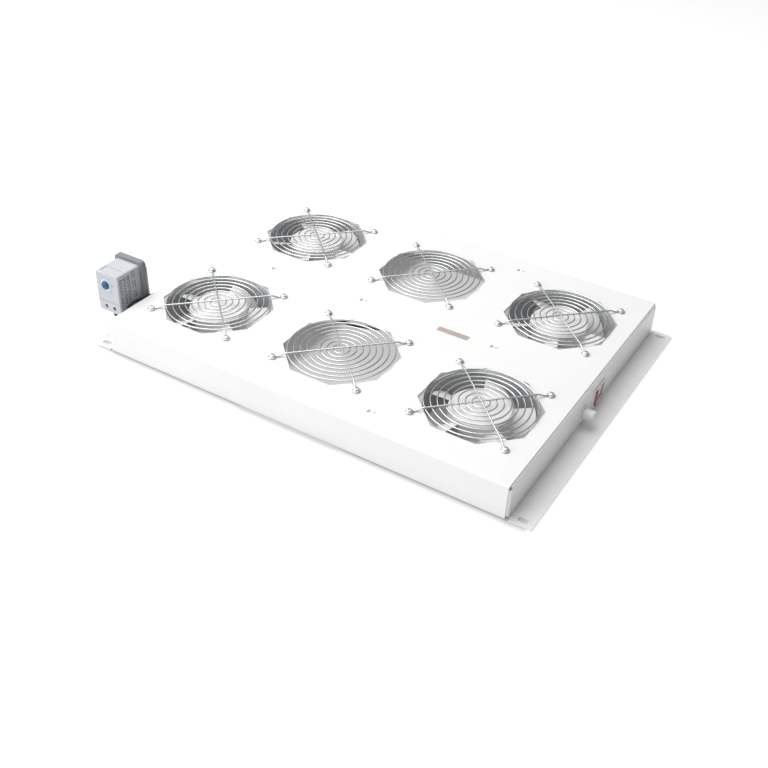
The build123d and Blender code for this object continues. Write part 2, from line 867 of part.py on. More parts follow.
def lead(name, points, diameter):
    """A round lead along straight runs joined by tangent arcs."""
    radii = corner_radii(points)
    path = FilletPolyline(*points, radius=radii)
    tube = sweep(Plane(path @ 0, z_dir=path % 0) * Circle(diameter / 2), path=path)
    share = tube.volume / (pi * diameter**2 / 4 * path.length)
    print(name, "radii", [round(r, 1) for r in radii])
    print(name, "length", round(path.length, 1), "share of section times length", round(share, 4))
    return tube


def thermostat_lead():
    """From the thermostat over its bracket, through the end wall and along the aisle to the terminal block."""
    ex, ey = thermo_x + thermo_width / 2 + terminal_offset, thermo_front + lead_entry_y
    drop = [
        (ex, ey, thermo_low + 6),
        (ex, ey, thermo_low - 4.5),
        (ex + 7.2, ey - 1.5, thermo_low - 6.7),
    ]
    at_wall = [
        (-9, -161.5, 20), (-5.8, -160.5, 30), (-4.6, -152, 38), (-4.2, -140, 37.6), (-3.6, -127, 35.2),
        (-3.4, -113, 32.3), (-4, -99, 31.6), (-8.6, -87, 28.5), (-10, -74.5, 23), (-0.5, -68, 20.2),
        (8.8, -61.5, 19), (10.5, -48, 18.5), (12.5, -36.5, 18.5), (22, -27.5, 19),
    ]
    aisle = [
        (-287, -24, 19), (-252, -20.5, 20), (-208, -20, 20), (-160, -23.5, 19.5),
        (-114, -22.5, 18.5), (-82, -15, 15.5), (-60, -8, 10.5), (-40, -5.5, 8.5),
        (-block_length / 2 - lead_gap, -5.4, 8.5),
    ]
    points = drop + [(-wall_x + x, y, z) for x, y, z in at_wall]
    points += [(block_x + x, y, deck - down) for x, y, down in aisle]
    return lead("thermostat lead", points, lead_diameter)


def wiring_leads():
    """Flexible leads between the fans, the terminal block, the switch and the fuse holder.
    Each point is given by its x, its y and its distance below the plate."""
    outlet = fan_depth - outlet_middle
    gate = row_pitch / 2 - fan_size / 2 - lead_gap
    tied = bridge_press + tie_slack + flex_diameter / 2
    left_end, right_end = block_x - block_length / 2 - lead_gap, block_x + block_length / 2 + lead_gap
    switch_x = wall_x - switch_depth - plug_gap - plug_length - lead_gap
    fuse_x = wall_x - fuse_depth - fuse_tag_length - lead_gap
    switch_down, fuse_down = deck - switch_z, deck - fuse_z
    bus_x, bus_y = tie_points["middle"]

    def across(tie_x, reach):
        """A lead from a front fan to the fan behind it, held up by the tie between them."""
        stops = [
            (0, -gate, outlet), (0.03, -28.5, 17.6), (0.33, -19.5, 13.5), (0.77, -11, 8), (0.98, -2, 4.5),
            (1, 6.5, 4.3), (0.8, 14.5, 7.3), (0.36, 21.5, 12.5), (0.02, 28.3, 17), (0, gate, 17.5),
        ]
        return [(reach + share * (tie_x - reach), y, down) for share, y, down in stops]

    runs = {
        "left fans": across(tie_points["left"][0], left_column + outlet_entry),
        "right fans": across(tie_points["right"][0], right_column - outlet_width / 3),
        "left supply": [
            (left_end, 1, 8.5), (left_end - 14, 1, 8.5), (left_end - 35.8, -3, 7.3),
            (left_end - 57.8, -15, 6.1),
            (bus_x + 22, -15.5, 5.1), (bus_x + 9, -11.5, tied + 0.2), (bus_x + 1, bus_y - 4.5, tied),
            (bus_x - 0.5, bus_y + 7, tied + 0.1), (bus_x - 6, 19, 5.5), (bus_x - 19, 24, 7),
            (left_column + 91, 23, 9), (left_column + 64, 17, 12), (left_column + 32, 13.5, 14.5),
            (left_column + 16, 16.9, 16.9), (left_column, 21.2, outlet - 0.1),
            (left_column - outlet_entry, 28.3, outlet), (left_column - outlet_entry, gate, outlet),
        ],
        "right supply": [
            (right_end, 5.5, 10.5), (right_end + 14, 5.5, 11.2), (right_end + 33.8, 9, 15.5),
            (right_column - 12, 15, 19), (right_column, 22, 18.7), (right_column + 4.8, 29, 18.1),
            (right_column + outlet_entry, gate, outlet),
        ],
        "switch": [
            (switch_x, switch_y, switch_down), (switch_x - 15, switch_y, switch_down),
            (switch_x - 36.5, 12, 21), (right_end + 37.8, 3, 16.5),
            (right_end + 14, 0.3, 11.9), (right_end, 0, 11.5),
        ],
        "fuse": [
            (fuse_x, fuse_y, fuse_down), (fuse_x - 15, fuse_y, fuse_down),
            (fuse_x - 40.8, -19, 22.5), (right_end + 35.8, -10, 18.5),
            (right_end + 14, -5.8, 12.1), (right_end, -5.5, 11.5),
        ],
        "earth": [
            (block_x, block_width / 2 + lead_gap, 8), (block_x, block_width / 2 + 6, 7.6),
            (block_x, block_width / 2 + 15, 5.3), (block_x, earth_y - earth_tag / 2 - lead_gap - 0.3, 5),
        ],
    }
    tubes = []
    for name, points in runs.items():
        tubes.append(lead(name, [(x, y, deck - down) for x, y, down in points], flex_diameter))
    return group(tubes)


def terminal_block():
    """Strip of clamps under the plate, with a screw well in each way."""
    low, half = deck - block_height, block_width / 2
    body = block(block_x - block_length / 2, block_x + block_length / 2, -half, half, low, deck)
    pitch = (block_length - 4 * stud_inset) / block_ways
    for k in range(block_ways):
        x = block_x + (k - (block_ways - 1) / 2) * pitch
        body -= [Pos(x, y, low) * Box(pitch - well_wall, well_width, 2 * well_depth) for y in (-well_y, well_y)]
    for side in (-1, 1):
        x = block_x + side * (block_length / 2 - stud_inset)
        body -= Pos(x, 0, low) * Cylinder(stud_diameter / 2 + stud_gap, 3 * block_height)
        body -= Pos(x, 0, low) * Cylinder(stud_well / 2, 2 * well_depth)
    return body


def block_studs():
    """Studs welded under the plate, each with its nut, holding the terminal block."""
    low = deck - block_height
    stud = rod(stud_diameter, low, deck)
    seat = low + well_depth - stud_nut_height - stud_gap
    clamp_nut = Pos(0, 0, seat) * nut(stud_nut_flats, stud_nut_height, stud_diameter)
    places = [block_x + side * (block_length / 2 - stud_inset) for side in (-1, 1)]
    return group([Pos(x, 0, 0) * (stud + clamp_nut) for x in places])


def earth_stud():
    """Welded stud with a nut on the ring tag of the earth lead."""
    bore = earth_stud_diameter + 2 * earth_fit
    tag_top = deck - earth_tag_drop
    tag_low = tag_top - earth_tag_thick
    stud = rod(earth_stud_diameter, deck - earth_stud_length, deck)
    tag = ring(earth_tag, bore, tag_low, tag_top) + ring(earth_spacer, bore, tag_top, deck)
    edge, half = -earth_tag / 2, flex_diameter / 2
    crimp = block(-half, half, edge - lead_gap, edge + earth_tag_thick, tag_low - earth_tag_thick, tag_top)
    clamp_nut = Pos(0, 0, tag_low - earth_nut_height) * nut(earth_nut_flats, earth_nut_height, bore)
    return Pos(block_x, earth_y, 0) * group([stud, tag + crimp, clamp_nut])


def cable_ties():
    """Nylon loops over the pressed bridges and round the leads under them, each with its head below."""
    half = bridge_width / 2 + tie_gap
    top = box_height - bridge_press + tie_gap
    low = deck - bridge_press - tie_slack - flex_diameter - tie_gap
    outside, foot = half + tie_thick, low - tie_thick
    outer = block(-outside, outside, -tie_width / 2, tie_width / 2, foot, top + tie_thick)
    inner = block(-half, half, -tie_width, tie_width, low, top)
    loop = chamfer(outer.edges().filter_by(Axis.Y), tie_thick / 2) - inner
    loop += Pos(0, 0, foot - tie_head_drop / 2) * Box(tie_head, tie_head, tie_head_drop)
    return group([Pos(x, y, 0) * loop for x, y in tie_points.values()])


def grommet(hole, bore):
    """Rubber ring on the X axis, grooved for the edge of a sheet that starts at zero."""
    body = rod_x(hole + 2 * grommet_lip, -grommet_bulge, sheet + grommet_bulge)
    body = chamfer(body.edges().filter_by(GeomType.CIRCLE), grommet_edge)
    fit = running_gap
    groove = rod_x(hole + 4 * grommet_lip, -fit, sheet + fit) - rod_x(hole - 2 * fit, -1, sheet + 1)
    return body - groove - rod_x(bore, -5, sheet + 5)


def lead_grommet():
    """In the left end wall, round the thermostat's lead."""
    return Pos(-wall_x, grommet_y, grommet_z) * grommet(grommet_hole, grommet_bore)


def mains_grommet():
    """In the back wall, for the supply cord."""
    return Pos(mains_x, wall_y, grommet_z) * Rot(0, 0, -90) * grommet(mains_hole, mains_bore)


def label_strip():
    plate = extrude(RectangleRounded(label_length, label_width, 0.8), label_thick)
    return Pos(block_x, 0, box_height) * plate


def build():
    nodes["top_panel"] = top_panel()
    nodes["front_wall"] = front_wall()
    nodes["back_wall"] = back_wall()
    nodes["right_end_wall"] = right_end_wall()
    nodes["left_end_wall"] = left_end_wall()
    pieces = {
        "fan_frame": fan_frame(),
        "fan_stator": fan_stator(),
        "fan_bearings": fan_bearings(),
        "fan_shaft": fan_shaft(),
        "fan_impeller": fan_impeller(),
    }
    for k, (x, y) in enumerate(fan_bays, 1):
        turn = 0 if y < 0 else 180
        for name, piece in pieces.items():
            nodes[f"{name}_{k}"] = Pos(x, y, fan_base) * Rot(0, 0, turn) * piece
    guard = finger_guard()
    for k, (x, y) in enumerate(bays, 1):
        nodes[f"finger_guard_{k}"] = Pos(x, y, box_height) * guard
    screw = pan_screw(screw_diameter, screw_length, head_diameter, head_height)
    nodes["guard_screws"] = group(
        [Pos(x + u, y + v, box_height + eye_wire) * screw for x, y in bays for u, v in corners]
    )
    nodes["guard_nuts"] = guard_nuts()
    nodes["switch_body"] = switch_body()
    nodes["switch_rocker"] = switch_rocker()
    nodes["switch_terminals"] = switch_terminals()
    nodes["switch_plug"] = switch_plug()
    nodes["fuse_holder_body"] = fuse_holder_body()
    nodes["fuse_holder_nut"] = fuse_holder_nut()
    nodes["fuse_cap"] = fuse_cap()
    nodes["fuse_link"] = fuse_link()
    nodes["thermostat_case"] = thermostat_case()
    nodes["thermostat_back"] = thermostat_back()
    nodes["thermostat_base"] = thermostat_base()
    nodes["thermostat_knob"] = thermostat_knob()
    nodes["thermostat_spindle"] = thermostat_spindle()
    nodes["thermostat_switch"] = thermostat_switch()
    nodes["thermostat_bimetal"] = thermostat_bimetal()
    nodes["thermostat_terminals"] = thermostat_terminals()
    nodes["thermostat_bracket"] = thermostat_bracket()
    nodes["bracket_screws"] = bracket_screws()
    nodes["thermostat_lead"] = thermostat_lead()
    nodes["lead_grommet"] = lead_grommet()
    nodes["mains_grommet"] = mains_grommet()
    nodes["wiring_leads"] = wiring_leads()
    nodes["terminal_block"] = terminal_block()
    nodes["block_studs"] = block_studs()
    nodes["earth_stud"] = earth_stud()
    nodes["cable_ties"] = cable_ties()
    nodes["label_strip"] = label_strip()


build()
os.makedirs("parts", exist_ok=True)
for name, shape in nodes.items():
    export_step(one(shape), f"parts/{name}.step")
print(len(nodes), "sub-parts")
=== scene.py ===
# %% [markdown]
# # A fan unit for the roof of an equipment cabinet
# The part is a shallow white steel tray with six openings under round wire guards. Four of them hold fans.
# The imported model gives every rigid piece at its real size, in metres, so this file only adds what the eye
# looks for: round wire, painted and plated surfaces, the thermostat's dial, soft light and a camera.

# %% Load the frame
from math import cos, pi, radians, sin, sqrt

import bmesh
import bpy
from mathutils import Matrix, Quaternion, Vector


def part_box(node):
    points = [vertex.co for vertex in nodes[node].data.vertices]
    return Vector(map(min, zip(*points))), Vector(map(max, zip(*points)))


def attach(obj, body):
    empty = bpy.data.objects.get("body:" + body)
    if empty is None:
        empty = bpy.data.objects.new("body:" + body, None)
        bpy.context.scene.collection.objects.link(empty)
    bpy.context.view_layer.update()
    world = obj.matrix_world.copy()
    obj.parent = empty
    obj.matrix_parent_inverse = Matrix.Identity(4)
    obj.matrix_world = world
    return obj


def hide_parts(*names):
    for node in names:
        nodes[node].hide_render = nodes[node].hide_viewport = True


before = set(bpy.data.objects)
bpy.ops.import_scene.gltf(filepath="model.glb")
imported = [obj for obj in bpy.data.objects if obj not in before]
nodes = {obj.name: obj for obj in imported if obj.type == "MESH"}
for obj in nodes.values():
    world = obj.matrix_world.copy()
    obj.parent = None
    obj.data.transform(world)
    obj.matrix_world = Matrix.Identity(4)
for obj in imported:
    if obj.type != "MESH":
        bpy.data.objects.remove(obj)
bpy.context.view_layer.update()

# %% Sizes that several cells use
MM = 0.001
tray_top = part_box("top_panel")[1][2]
guards = sorted(name for name in nodes if name.startswith("finger_guard"))


def middle_of(name):
    """The middle of the box that a piece of the model fills."""
    return [(low + high) / 2 for low, high in zip(*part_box(name))]


print("the top plate lies", round(tray_top / MM, 1), "mm above the underside, under", len(guards), "guards")

# %% [markdown]
# ## Helpers
# A few small functions are used again and again. One puts an object into the scene, one takes the mesh that
# a curve, a text or a modifier comes to, and one lets a finished piece move with a body of the model. Curves
# could stay curves, but a plain mesh can be joined, cut and exported by every later step.

# %% Objects, meshes and pieces that ride on a body


def put(name, data):
    """An object in the scene that holds a mesh, a curve, a text, a lamp or a camera."""
    holder = bpy.data.objects.new(name, data)
    bpy.context.collection.objects.link(holder)
    return holder


def as_mesh(holder):
    """The mesh that an object comes to once its curve or its modifiers are worked out."""
    bpy.context.view_layer.update()
    drawn = holder.evaluated_get(bpy.context.evaluated_depsgraph_get())
    mesh = bpy.data.meshes.new_from_object(drawn)
    bpy.data.objects.remove(holder)
    return mesh


def place(name, mesh, body, finish):
    """A piece that shows a mesh in one finish and moves with a body of the model."""
    piece = put(name, mesh)
    mesh.materials.clear()
    mesh.materials.append(finish)
    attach(piece, body)
    return piece


print("helpers for objects ready")

# %% [markdown]
# Wire is a line with a thickness. A tube could be skinned over the line by hand, but a curve with a round
# bevel does that already, keeps its section square to the line at every bend and closes the ends.

# %% Round wire
WIRE_FACETS = 3


def wire_mesh(name, runs):
    """Round wires as one mesh: each run is (points, radius, closed)."""
    curve = bpy.data.curves.new(name, "CURVE")
    curve.dimensions = "3D"
    curve.bevel_depth = 1.0
    curve.bevel_resolution = WIRE_FACETS
    curve.use_fill_caps = True
    for points, radius, closed in runs:
        spline = curve.splines.new("POLY")
        spline.points.add(len(points) - 1)
        for at, point in zip(points, spline.points):
            point.co = (*at, 1)
            point.radius = radius
        spline.use_cyclic_u = closed
    mesh = as_mesh(put(name, curve))
    mesh.name = name
    return mesh


print("round wire has", 4 + 2 * WIRE_FACETS, "sides")

# %% [markdown]
# Screw heads and knobs are turned parts, so they are lathed: a profile of radius and height goes round the Z
# axis. A Screw modifier could turn the profile too, but a loop over the rings leaves no seam to weld. Slots
# are cut with the Boolean modifier, which gives the crisp edges that a milled slot has. Copies of one turned
# part are joined to one mesh, because the eye reads them as one kind of piece.

# %% Lathe and box


def finished_mesh(name, shape):
    """A mesh from what was built up, which is then let go."""
    mesh = bpy.data.meshes.new(name)
    shape.to_mesh(mesh)
    shape.free()
    return mesh


def lathe(name, profile, sides):
    """A closed turned solid: profile is a list of (radius, height), from the axis back to the axis."""
    shape = bmesh.new()
    angles = [2 * pi * k / sides for k in range(sides)]
    rings = []
    for radius, height in profile:
        if radius == 0:
            rings.append([shape.verts.new((0, 0, height))])
        else:
            rings.append([shape.verts.new((radius * cos(a), radius * sin(a), height)) for a in angles])
    for lower, upper in zip(rings, rings[1:]):
        for k in range(sides):
            corners = [lower[k % len(lower)], lower[(k + 1) % len(lower)]]
            corners += [upper[(k + 1) % len(upper)], upper[k % len(upper)]]
            shape.faces.new(dict.fromkeys(corners))
    bmesh.ops.recalc_face_normals(shape, faces=shape.faces)
    return finished_mesh(name, shape)


def box_mesh(name, sizes, middle=(0, 0, 0)):
    """A block of the given length, width and height."""
    shape = bmesh.new()
    bmesh.ops.create_cube(shape, size=1.0)
    bmesh.ops.scale(shape, vec=sizes, verts=shape.verts)
    bmesh.ops.translate(shape, vec=middle, verts=shape.verts)
    return finished_mesh(name, shape)


print("lathe and box ready")

# %% Join, cut and smooth
SHARP_TURN = radians(35)


def joined(name, meshes_and_places):
    """One mesh from copies of meshes, each moved by its own matrix."""
    shape = bmesh.new()
    for mesh, place_matrix in meshes_and_places:
        known = len(shape.verts)
        shape.from_mesh(mesh)
        shape.verts.ensure_lookup_table()
        bmesh.ops.transform(shape, matrix=place_matrix, verts=shape.verts[known:])
    return finished_mesh(name, shape)


def carved(mesh, cutter):
    """A mesh less a cutter."""
    body, tool = put(mesh.name, mesh), put(cutter.name, cutter)
    cut = body.modifiers.new("cut", "BOOLEAN")
    cut.operation = "DIFFERENCE"
    cut.solver = "EXACT"
    cut.object = tool
    result = as_mesh(body)
    bpy.data.objects.remove(tool)
    return result


def smooth(mesh):
    """Every face shaded smooth."""
    for face in mesh.polygons:
        face.use_smooth = True
    return mesh


def crisp(mesh):
    """Smooth faces, with sharp edges where the surface turns by more than SHARP_TURN."""
    smooth(mesh).set_sharp_from_angle(angle=SHARP_TURN)
    return mesh


print("helpers for meshes ready")

# %% [markdown]
# ## Finishes as sums
# A finish is a small network of nodes. It could be wired by hand in the shader editor, but written as Python
# expressions it reads like the rule it stands for, such as `0.4 + 0.1 * grain`. The class below wraps one
# socket: adding or multiplying two of them adds a Math node to the material. Everything else, a noise or a
# mix of colours, comes from the one method called `node`.

# %% Sockets that can be added and multiplied


class Socket:
    """One output of a node. Sums and products of sockets are new Math nodes."""

    def __init__(self, network, socket):
        self.network = network
        self.socket = socket

    def maths(self, operation, a, b):
        return self.network.node("Math", {"operation": operation}, [a, b])

    def __add__(self, other):
        return self.maths("ADD", self, other)

    def __radd__(self, other):
        return self.maths("ADD", other, self)

    def __sub__(self, other):
        return self.maths("SUBTRACT", self, other)

    def __rsub__(self, other):
        return self.maths("SUBTRACT", other, self)

    def __mul__(self, other):
        return self.maths("MULTIPLY", self, other)

    def __rmul__(self, other):
        return self.maths("MULTIPLY", other, self)

    def __truediv__(self, other):
        return self.maths("DIVIDE", self, other)

    def __rtruediv__(self, other):
        return self.maths("DIVIDE", other, self)

    def __pow__(self, other):
        return self.maths("POWER", self, other)

    def __gt__(self, other):
        return self.maths("GREATER_THAN", self, other)

    def __lt__(self, other):
        return self.maths("LESS_THAN", self, other)

    def clamped(self):
        return self.network.node("Clamp", {}, [self, 0.0, 1.0])


def colour(value):
    """A colour as a mix node takes it: a socket, or four numbers."""
    return value if isinstance(value, Socket) else (*value, 1)


print("sockets can be added and multiplied")

# %% The nodes that finishes are made of


class Network:
    """The nodes of one material or of the sky."""

    def __init__(self, tree):
        self.tree = tree

    def node(self, kind, settings=(), inputs=(), output=0):
        """A node of a kind, its settings, and what goes into its sockets, by place or by name."""
        made = self.tree.nodes.new("ShaderNode" + kind)
        for key, value in dict(settings).items():
            setattr(made, key, value)
        given = inputs.items() if isinstance(inputs, dict) else enumerate(inputs)
        for key, value in given:
            if isinstance(value, Socket):
                self.tree.links.new(value.socket, made.inputs[key])
            else:
                made.inputs[key].default_value = value
        return Socket(self, made.outputs[output])

    def point(self):
        """The point on the surface, in metres, in the frame of the whole part."""
        return self.node("TexCoord", output="Object")

    def noise(self, size, detail=2.0):
        """Soft noise with patches of about the given size in metres."""
        return self.node("TexNoise", {}, {"Vector": self.point(), "Scale": 1 / size, "Detail": detail})

    def bands(self, scale):
        """Soft stripes along Z, as on a winding or a turned surface."""
        inputs = {"Vector": self.point(), "Scale": scale}
        return self.node("TexWave", {"bands_direction": "Z"}, inputs, output="Fac")

    def along(self, axis):
        """How far along X, Y or Z a point lies, in metres."""
        return self.node("SeparateXYZ", {}, [self.point()], output=axis)

    def off(self, axis, middle):
        """The distance from a plane across X, Y or Z."""
        return self.node("Math", {"operation": "ABSOLUTE"}, [self.along(axis) - middle])

    def larger(self, a, b):
        return self.node("Math", {"operation": "MAXIMUM"}, [a, b])

    def mix(self, share, first, second):
        """A colour between two colours. Sockets 6 and 7 are the two colours of a Mix node."""
        inputs = {"Factor": share, 6: colour(first), 7: colour(second)}
        return self.node("Mix", {"data_type": "RGBA"}, inputs, output=2)

    def bump(self, height, depth, strength=1.0):
        """A surface raised by height, 0 to 1, times depth in metres."""
        return self.node("Bump", {}, {"Height": height, "Distance": depth, "Strength": strength})


class Finish(Network):
    """A material with one Principled shader. Plain numbers go straight onto the shader's sockets."""

    def __init__(self, name, **constants):
        self.material = bpy.data.materials.new(name)
        self.material.use_nodes = True
        super().__init__(self.material.node_tree)
        self.shader = self.tree.nodes["Principled BSDF"]
        for socket, value in constants.items():
            self.shader.inputs[socket.replace("_", " ")].default_value = value

    def feed(self, **sockets):
        """Links what changes over the surface to the shader."""
        for name, value in sockets.items():
            self.tree.links.new(value.socket, self.shader.inputs[name.replace("_", " ")])


print("helpers for finishes ready")

# %% [markdown]
# ## White powder coat
# The tray is sheet steel under a white powder coat. Powder flows out into soft dimples two or three
# millimetres across, which an eye reads as orange peel: they break up every highlight. They could be pressed
# into the mesh, but a plate of this size would need millions of faces, so a noise of that size feeds the
# bump. A second, larger one lets the thickness of the coat drift, and a coat layer gives the soft gloss.

# %% Powder coat on the tray


def powder_coat():
    made = Finish("powder_coat", Coat_Roughness=0.25, IOR=1.5)
    dimples = made.noise(2.4 * MM, 1.0)
    drift = made.noise(60 * MM, 2.0)
    speckle = made.noise(0.5 * MM, 1.0)
    made.feed(
        Base_Color=made.mix(drift, (0.78, 0.78, 0.775), (0.83, 0.83, 0.828)),
        Roughness=0.36 + 0.12 * speckle,
        Coat_Weight=0.15 + 0.15 * drift,
        Normal=made.bump(dimples, 0.22 * MM, 0.8),
    )
    return made.material


PAINT = powder_coat()
print("powder coat made")

# %% [markdown]
# ## Plated wire, zinc and die casting
# The guards are drawn wire, welded and bright plated; the screws and nuts are zinc plated; the fans' frames
# are raw die castings. A perfect mirror would show nothing but the dark and the bright side of the studio,
# so each metal keeps some plain colour and some roughness, and a fine noise makes both uneven. The casting
# is the dullest of the three, because its skin is grained by the mould.

# %% Bright wire, zinc and die casting


def bright_wire():
    made = Finish("bright_wire", Metallic=0.85)
    cloud = made.noise(4 * MM, 3.0)
    made.feed(
        Base_Color=made.mix(cloud, (0.60, 0.61, 0.62), (0.74, 0.75, 0.76)),
        Roughness=0.14 + 0.16 * cloud,
        Normal=made.bump(made.noise(0.6 * MM), 0.01 * MM),
    )
    return made.material


def zinc_plate():
    made = Finish("zinc_plate", Metallic=0.8)
    cloud = made.noise(2 * MM, 3.0)
    made.feed(
        Base_Color=made.mix(cloud, (0.68, 0.70, 0.72), (0.84, 0.85, 0.86)),
        Roughness=0.30 + 0.22 * cloud,
        Normal=made.bump(made.noise(0.4 * MM), 0.012 * MM),
    )
    return made.material


def die_casting():
    made = Finish("die_casting", Metallic=0.55)
    grain = made.noise(0.9 * MM, 4.0)
    flow = made.noise(18 * MM, 3.0)
    made.feed(
        Base_Color=made.mix(flow, (0.40, 0.41, 0.42), (0.50, 0.51, 0.52)),
        Roughness=0.38 + 0.18 * grain,
        Normal=made.bump(grain, 0.05 * MM, 0.6),
    )
    return made.material


WIRE = bright_wire()
ZINC = zinc_plate()
CASTING = die_casting()
print("three metals made")

# %% [markdown]
# ## The motor
# Under each hub sits a stack of steel laminations with a wound coil above and below. The sheets could be
# modelled one by one, but they are half a millimetre thick and stand in the shade, so a saw-tooth along the
# height darkens each joint instead. The winding is told from the steel by its height alone, and gets the
# colour of lacquered copper.

# %% Laminations and winding
COIL_HEIGHT = 4 * MM
SHEET = 0.5 * MM
JOINT_SHARE = 0.75
TURNS_SCALE = 420.0


def motor_finish():
    made = Finish("laminations_and_winding")
    low, high = (corner[2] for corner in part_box("fan_stator_1"))
    height = made.along("Z")
    steel = (height > low + COIL_HEIGHT) * (height < high - COIL_HEIGHT)
    joint = made.node("Math", {"operation": "FRACT"}, [height / SHEET]) > JOINT_SHARE
    turns = made.bands(TURNS_SCALE)
    wound = made.mix(turns, (0.35, 0.12, 0.05), (0.62, 0.28, 0.12))
    stack = made.mix(joint, (0.45, 0.45, 0.46), (0.18, 0.18, 0.19))
    made.feed(
        Base_Color=made.mix(steel, wound, stack),
        Metallic=0.4 + 0.5 * steel,
        Roughness=0.34 + 0.2 * joint,
        Normal=made.bump(joint * steel + turns * (1 - steel), 0.08 * MM),
    )
    return made.material


MOTOR = motor_finish()
print("motor finish made")

# %% [markdown]
# ## Moulded plastics
# Moulded parts are never quite even: the surface carries the fine spark texture of its mould and the colour
# drifts a little. Each could have a network of its own, but they differ only in a colour, a gloss and the
# size of the texture, so one function makes them all from those.

# %% Plastics and rubber


def moulding(name, shade, rough, grain_size=0.5 * MM, depth=0.02 * MM, drift=0.06, **constants):
    made = Finish(name, **constants)
    grain = made.noise(grain_size, 2.0)
    cloud = made.noise(12 * MM, 2.0)
    dark = tuple(c * (1 - drift) for c in shade)
    light = tuple(min(1, c * (1 + drift)) for c in shade)
    made.feed(
        Base_Color=made.mix(cloud, dark, light),
        Roughness=rough - 0.06 + 0.12 * grain,
        Normal=made.bump(grain, depth, 0.7),
    )
    return made.material


BLADE = moulding("impeller_plastic", (0.80, 0.80, 0.79), 0.42)
WHITE = moulding("switch_white", (0.78, 0.78, 0.77), 0.25, depth=0.008 * MM)
HOLDER = moulding("fuse_holder_plastic", (0.76, 0.76, 0.75), 0.35)
CASE = moulding("thermostat_case_grey", (0.51, 0.53, 0.56), 0.45)
BASE = moulding("thermostat_base_grey", (0.22, 0.235, 0.25), 0.5)
BLUE = moulding("knob_blue", (0.009, 0.10, 0.22), 0.34, depth=0.006 * MM)
INK = moulding("scale_ink", (0.05, 0.055, 0.07), 0.5)
DIAL = moulding("dial_pale", (0.68, 0.78, 0.88), 0.4)
BLACK = moulding("black_jacket", (0.012, 0.012, 0.013), 0.5, drift=0.3)
NYLON = moulding("natural_nylon", (0.74, 0.73, 0.68), 0.4, Subsurface_Weight=0.1)
LABEL = moulding("bare_label_film", (0.43, 0.355, 0.31), 0.45, grain_size=3 * MM)
print("plastics made")

# %% [markdown]
# ## The lit rocker
# The rocker is clear red plastic over a lamp. Its colour is painted light and shade: pale pink in the
# middle, as light through a thin wall, and deep red at the rim, painted shade of the deep gap round it and
# of the long way the light has through the plastic there. Real refraction would need a lamp and a reflector
# inside, so the two reds are told apart by the distance from the rim instead, under a clear coat.

# %% Clear red plastic
ROCKER_HALF_LENGTH = 12.6 * MM
ROCKER_HALF_WIDTH = 8.4 * MM


def rocker_finish():
    made = Finish("rocker_red", Coat_Weight=1.0, Coat_Roughness=0.05, Roughness=0.2, IOR=1.49)
    _, y, z = middle_of("switch_rocker")
    reach = made.larger(made.off("Y", y) / ROCKER_HALF_LENGTH, made.off("Z", z) / ROCKER_HALF_WIDTH)
    # Painted shade and light: deep red towards the rim for the shaded gap round the rocker, pale pink in the
    # middle as painted light.
    painted_rim_shade = (reach * reach * reach * reach).clamped()
    painted_lit_pink = made.mix(made.noise(5 * MM, 2.0), (0.84, 0.50, 0.53), (0.90, 0.62, 0.64))
    made.feed(
        Base_Color=made.mix(painted_rim_shade, painted_lit_pink, (0.20, 0.006, 0.02)),
        Normal=made.bump(made.noise(1.2 * MM), 0.02 * MM),
    )
    return made.material


RED = rocker_finish()
print("rocker finish made")

# %% [markdown]
# ## Brass, ground steel and glass
# The terminals are brass that has tarnished a little, the shafts are ground steel with fine marks round
# them, and the fuse is a glass tube between two plated caps. The fuse could be three pieces, but it is one
# solid in the model, so its place along X tells the glass from the caps.

# %% Three finishes inside the tray
GRINDING_SCALE = 900.0
FUSE_CAP = 5 * MM


def brass():
    made = Finish("terminal_brass", Metallic=1.0)
    tarnish = made.noise(3 * MM, 3.0)
    made.feed(
        Base_Color=made.mix(tarnish, (0.62, 0.46, 0.20), (0.78, 0.62, 0.34)),
        Roughness=0.25 + 0.2 * tarnish,
    )
    return made.material


def ground_steel():
    made = Finish("ground_steel", Metallic=1.0)
    turning = made.bands(GRINDING_SCALE)
    made.feed(
        Base_Color=made.mix(turning, (0.60, 0.60, 0.61), (0.72, 0.72, 0.73)),
        Roughness=0.16 + 0.1 * turning,
    )
    return made.material


def fuse_glass():
    """Clear in the middle of the fuse, plated at its two caps."""
    made = Finish("fuse_glass", IOR=1.45)
    low, high = (corner[0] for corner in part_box("fuse_link"))
    across = made.along("X")
    glass = (across > low + FUSE_CAP) * (across < high - FUSE_CAP)
    made.feed(
        Base_Color=made.mix(glass, (0.70, 0.70, 0.71), (0.90, 0.94, 0.93)),
        Metallic=1 - glass,
        Roughness=0.2 - 0.12 * glass,
        Alpha=1 - 0.6 * glass,
    )
    return made.material


BRASS = brass()
STEEL = ground_steel()
GLASS = fuse_glass()
print("brass, steel and glass made")

# %% [markdown]
# ## Finishes onto the model
# Each piece of the model keeps its shape and takes one of the finishes. They could be given one by one, but
# the names of the pieces start alike where they repeat, so a table from the start of a name to a finish is
# enough.

